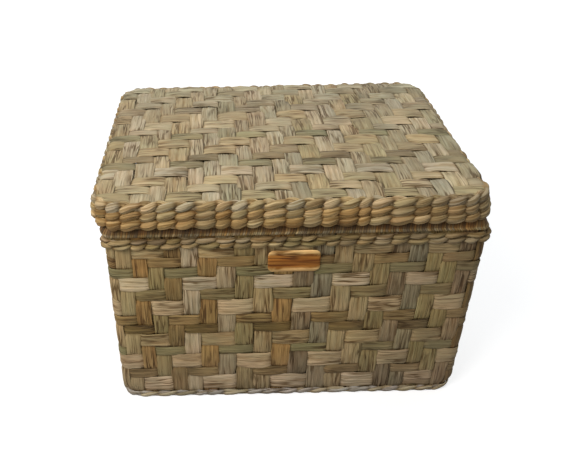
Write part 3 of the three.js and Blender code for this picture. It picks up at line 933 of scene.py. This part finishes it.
def folded(half, swell):
    """A strip's line over the lid, turned down at both ends: distance along, height and normal."""
    low = bottom("lid_band") + SKIRT_LIFT
    skirt = np.arange(low, lid_sheet - SHOULDER, STEP)
    bend = np.linspace(0, np.pi / 2, SHOULDER_STEPS)
    flat = half - SHOULDER
    inside = np.linspace(-flat, flat, round(2 * flat / STEP))[1:-1]
    q = np.concatenate([skirt * 0 - half, -flat - SHOULDER * np.cos(bend)])
    z = np.concatenate([skirt, lid_sheet - SHOULDER + SHOULDER * np.sin(bend)])
    lean = np.concatenate([skirt * 0 - 1, -np.cos(bend)])
    q -= swell * np.exp(-(((z - lid_sheet) / SHOULDER + BULGE_DROP) / BULGE_SPAN) ** 2)
    q = np.concatenate([q, inside, -q[::-1]])
    z = np.concatenate([z, inside * 0 + lid_sheet, z[::-1]])
    lean = np.concatenate([lean, inside * 0, -lean[::-1]])
    return q, z, lean


def lid_strip(rng, axis, low, high, lift_edges, sides, colour):
    """A strip across the lid from front to back (axis 0) or from side to side (axis 1)."""
    other = 1 - axis
    place = (low + high) / 2
    reach = lid_outline.reach(other, place)
    q, z, lean = folded(reach, BULGE[axis])
    upright = np.sqrt(1 - lean**2)
    path = np.zeros((len(q), 3))
    askew = rng.uniform(-ASKEW, ASKEW) * q / reach * (1 - (q / reach) ** 2)
    path[:, axis] = place + (wander(rng, q, *LID_WANDER) + ASKEW_SCALE * askew) * upright
    path[:, other] = q
    bulge = (1 - (place / lid_outline.half[axis]) ** 2) * (1 - (q / lid_outline.half[other]) ** 2)
    path[:, 2] = z + DOME * bulge * upright
    normal = np.zeros((len(q), 3))
    normal[:, other] = lean
    normal[:, 2] = upright
    lift = weave_lift(rng, q, lift_edges, sides, 0.0) * upright
    colour = linear(colour) + (linear("hay") - linear(colour)) * LID_CALM
    half = LID_OVERLAP * (high - low) / 2
    part = leaf(rng, lengths(path), on_line(path, normal), half, lift, colour)
    # painted shade where the strips turn down at the lid's edge
    part["paint"] *= (1 - LID_EDGE_PAINTED_SHADE * np.abs(lean))[:, None, None]
    rows = part["rows"]
    spread = smooth(np.abs(rows[..., other]), reach - FAN, reach)
    further = lid_outline.reach(other, rows[..., axis]) - reach
    rows[..., other] += np.sign(rows[..., other]) * further * spread
    return part


def build_lid():
    """The lid's sheet; its strips turn down at the edge, inside the twined rows."""
    columns = np.arange(LID_WARPS)
    rows = np.arange(len(lid_wefts))
    warps = []
    for i in columns:
        rng = draws("lid_long_strips", i)
        sides = twill(i - rows)
        part = lid_strip(rng, 0, *lid_warp_edges[i : i + 2], lid_weft_edges, sides, LID_COLUMNS[i])
        warps.append(part)
    skin("lid_long_strips", warps, STRIP_LEAF, "lid", ["lid_warps", "lid_band"])
    for i, name in enumerate(lid_wefts):
        rng = draws("lid_cross_strips", i)
        sides = -twill(columns - i)
        part = lid_strip(rng, 1, *lid_weft_edges[i : i + 2], lid_warp_edges, sides, LID_WEFTS[i])
        skin(f"lid_cross_strip_{i + 1:02d}", [part], STRIP_LEAF, "lid", [name])


build_lid()
twined_rows("lid", lid_outline, "lid", LID_ROWS)


# Base mat and cane frame


def base_strips():
    """A thin twill mat that keeps inside the CAD base."""
    lo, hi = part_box("base_mat")
    middle = (lo.z + hi.z) / 2
    room = (hi.z - lo.z) / 2 - CLEAR
    crossings = []
    for axis in (0, 1):
        middles = gaps[axis] - walls.starts[axis] - walls.runs[axis] / 2
        crossings.append(np.clip(middles, lo[axis] + BASE_INSET, hi[axis] - BASE_INSET))
    parts = []
    for axis in (0, 1):
        places, lines = crossings[1 - axis], crossings[axis]
        s = np.arange(lo[axis], hi[axis], STEP)
        for i in range(len(places) - 1):
            rng = draws("base_weave", NEXT_LAYER * axis + i)
            path = np.zeros((len(s), 3))
            path[:, axis] = s
            path[:, 1 - axis] = (places[i] + places[i + 1]) / 2
            path[:, 2] = middle
            sides = twill(np.arange(len(lines) - 1) - i) * (1 - 2 * axis)
            lift = BASE_LIFT * weave_lift(rng, s, lines, sides, 0.0)
            up = np.tile([0.0, 0.0, 1.0], (len(s), 1))
            half = (places[i + 1] - places[i]) / 2
            colour = linear(OTHER_STAKES[(3 * i + axis) % len(OTHER_STAKES)])
            part = leaf(rng, s - s[0], on_line(path, up), half, lift, colour)
            rise = part["rows"][..., 2] - middle
            part["rows"][..., 2] = middle + room * np.tanh(rise / room)
            parts.append(part)
    skin("base_weave", parts, STRIP_LEAF, "box", ["base_mat"])


def cane(rng, points, out, radius):
    """A round rod through points, with a swollen dark joint now and then."""
    tangent = unit(np.gradient(points, axis=0))
    side = np.cross(out, tangent)
    s = lengths(points)
    past = np.mod(s + rng.uniform(0, CANE_NODE), CANE_NODE) - CANE_NODE / 2
    joint = np.exp(-((past / CANE_JOINT) ** 2))
    thick = radius * (1 - CANE_SWELL * (1 - joint))[:, None]
    rows = tube(points, out, side, thick, thick)
    tone = linear(CANE_TONES[rng.integers(len(CANE_TONES))])
    paint = np.repeat((tone * (1 - CANE_DARK * joint)[:, None])[:, None], SIDES, 1)
    return surface(rng, rows, s[:, None], circle(SIDES) * radius, paint)


def base_rod():
    lo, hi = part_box("base_hoop")
    radius = (hi.z - lo.z) / 2
    outline = Outline(hi.x - radius, hi.y - radius, WALL_RADIUS)
    points, normals = outline.at(np.linspace(0, outline.length, round(outline.length / STEP)))
    points[:, 2] = lo.z + radius
    part = cane(draws("base_rod"), points, normals, radius)
    skin("base_rod", [part], CANE, "box", ["base_hoop"])


def corner_rods():
    for i, name in enumerate(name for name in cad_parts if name.startswith("post_")):
        lo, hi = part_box(name)
        z = np.linspace(lo.z, hi.z, round((hi.z - lo.z) / STEP))
        points = np.stack([z * 0 + (lo.x + hi.x) / 2, z * 0 + (lo.y + hi.y) / 2, z], -1)
        out = np.tile([1.0, 0.0, 0.0], (len(z), 1))
        part = cane(draws("corner_rods", i), points, out, (hi.x - lo.x) / 2)
        skin(name.replace("post", "corner_rod"), [part], CANE, "box", [name])


base_strips()
base_rod()
corner_rods()


# Tag and hinge straps


def build_tag():
    """A plain leather tag: rings from the middle of its front, over the edge, to the middle of its back."""
    rng = draws("tag")
    lo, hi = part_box("front_tag")
    half = (hi - lo) / 2
    outline = Outline(half.x, half.z, TAG_RADIUS)
    u = np.linspace(0, outline.length, TAG_POINTS, endpoint=False)
    ring = outline.at(u)[0] * (1 - np.abs(wander(rng, u, outline.length, TAG_EDGE)))[:, None]
    profile = [*TAG_RINGS, *((share, 1 - depth) for share, depth in reversed(TAG_RINGS))]
    rows = np.array([np.stack([ring[:, 0] * k, 0 * u + d, ring[:, 1] * k], -1) for k, d in profile])
    level = np.abs(rows[..., 2]) / half.z + wander(rng, rows[..., 0], *TAG_PALE_WANDER)
    paler = smooth(level, *TAG_PALE)
    paint = linear("leather") + (linear("buff") - linear("leather")) * paler[..., None]
    paint = paint * (1 + wander(rng, rows[..., 2], *TAG_STREAKS))[..., None]
    along, across = rows[..., 0].copy(), rows[..., 2].copy()
    rows[..., 1] *= 2 * half.y
    rows += np.array([(lo.x + hi.x) / 2, lo.y, (lo.z + hi.z) / 2])
    part = surface(rng, rows, along, across, paint)
    skin("front_tag_leather", [part], TAG_LEATHER, "box", ["front_tag"])


def build_straps():
    """Leaf straps from the wall, past the rim rows and the hoop, to the lid; they bend at the seam."""
    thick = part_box("hinge_lid_left")[1].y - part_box("hinge_lid_left")[0].y
    rim_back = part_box("rim_twine_lower_outer")[1].y + RIM_OUT + thick / 2
    rim_start = bottom("rim_twine_lower_outer")
    levels = [bottom("hinge_box_left"), rim_start - STRAP_SLOPE, rim_start]
    levels += [hoop_low, hoop_high, top("hinge_lid_left")]
    wall_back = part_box("hinge_box_left")[0].y + thick / 2
    lid_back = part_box("hinge_lid_left")[1].y - thick / 2
    depths = [wall_back, wall_back, rim_back, rim_back, lid_back, lid_back]
    for i, side in enumerate(("left", "right")):
        rng = draws("straps", i)
        lo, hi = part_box(f"hinge_lid_{side}")
        x = (lo.x + hi.x) / 2
        z = np.arange(levels[0], levels[-1], STRAP_STEP)
        path = np.stack([z * 0 + x, np.interp(z, levels, depths), z], -1)
        ends = STRAP_ROUND // 2
        path[ends:-ends, 1] = np.convolve(path[:, 1], np.ones(STRAP_ROUND) / STRAP_ROUND, "valid")
        tangent = unit(np.gradient(path, axis=0))
        normal = np.stack([0 * z, tangent[:, 2], -tangent[:, 1]], -1)
        half = (hi.x - lo.x) / 2
        place = on_line(path, normal)
        part = leaf(rng, z - z[0], place, half, 0 * z, linear(STRAP[i]), STRAP_THICKNESS)
        nodes = [f"hinge_box_{side}", f"hinge_lid_{side}"]
        strap = skin(f"hinge_strap_{side}", [part], STRIP_LEAF, None, nodes)
        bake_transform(strap)


build_tag()
build_straps()


# Camera, light and floor


def build_camera():
    turn, down, roll = (math.radians(a) for a in CAMERA_TURN)
    camera = new_object("camera", bpy.data.cameras.new("camera"))
    camera.data.sensor_width = SENSOR
    camera.data.lens = FOCAL_PIXELS / IMAGE_WIDTH * SENSOR
    camera.data.shift_x, camera.data.shift_y = (pixels / IMAGE_WIDTH for pixels in SHIFT_PIXELS)
    camera.matrix_world = Matrix.Translation(CAMERA_PLACE)
    for angle, axis in ((-turn, "Z"), (math.pi / 2 - down, "X"), (roll, "Z")):
        camera.matrix_world @= Matrix.Rotation(angle, 4, axis)
    bpy.context.scene.camera = camera


def build_lights():
    for name, (place, size, power, colour) in LAMPS.items():
        lamp = bpy.data.lights.new(name, "AREA")
        lamp.size = size
        lamp.energy = power
        lamp.color = colour
        light = new_object(name, lamp)
        light.location = place
        light.rotation_euler = (Vector(LAMP_AIM) - Vector(place)).to_track_quat("-Z", "Y").to_euler()


def build_backdrop():
    world = bpy.data.worlds.new("studio")
    world.use_nodes = True
    tree = world.node_tree
    background = tree.nodes["Background"]
    background.inputs["Color"].default_value = WHITE
    path = node(tree, "LightPath")
    seen = path.outputs["Is Camera Ray"]
    for ray in ("Is Glossy Ray", "Is Transmission Ray"):
        seen = node(tree, "Math", {0: seen, 1: path.outputs[ray]}, operation="MAXIMUM").outputs[0]
    strength = rescale(tree, seen, 0, 1, WORLD_LIGHT, 1)
    tree.links.new(strength, background.inputs["Strength"])
    bpy.context.scene.world = world

    mesh = bpy.data.meshes.new("floor")
    corners = [(FLOOR_HALF * x, FLOOR_HALF * y, 0) for x, y in ((-1, -1), (1, -1), (1, 1), (-1, 1))]
    mesh.from_pydata(corners, [], [(0, 1, 2, 3)])
    material, tree, shader = new_material("floor")
    shader.inputs["Base Color"].default_value = FLOOR_GREY
    shader.inputs["Roughness"].default_value = FLOOR_ROUGHNESS
    shader.inputs["Emission Color"].default_value = WHITE
    spot = node(tree, "NewGeometry").outputs["Position"]
    away = node(tree, "VectorMath", {0: spot}, operation="LENGTH").outputs["Value"]
    glow = rescale(tree, away, *GLOW_RANGE, *FLOOR_GLOW)
    seen = node(tree, "LightPath").outputs["Is Camera Ray"]
    glow = node(tree, "Math", {0: glow, 1: seen}, operation="MULTIPLY")
    tree.links.new(glow.outputs[0], shader.inputs["Emission Strength"])
    mesh.materials.append(material)
    floor = new_object("floor", mesh)


build_camera()
build_lights()
build_backdrop()
bpy.context.scene.view_settings.view_transform = "Standard"
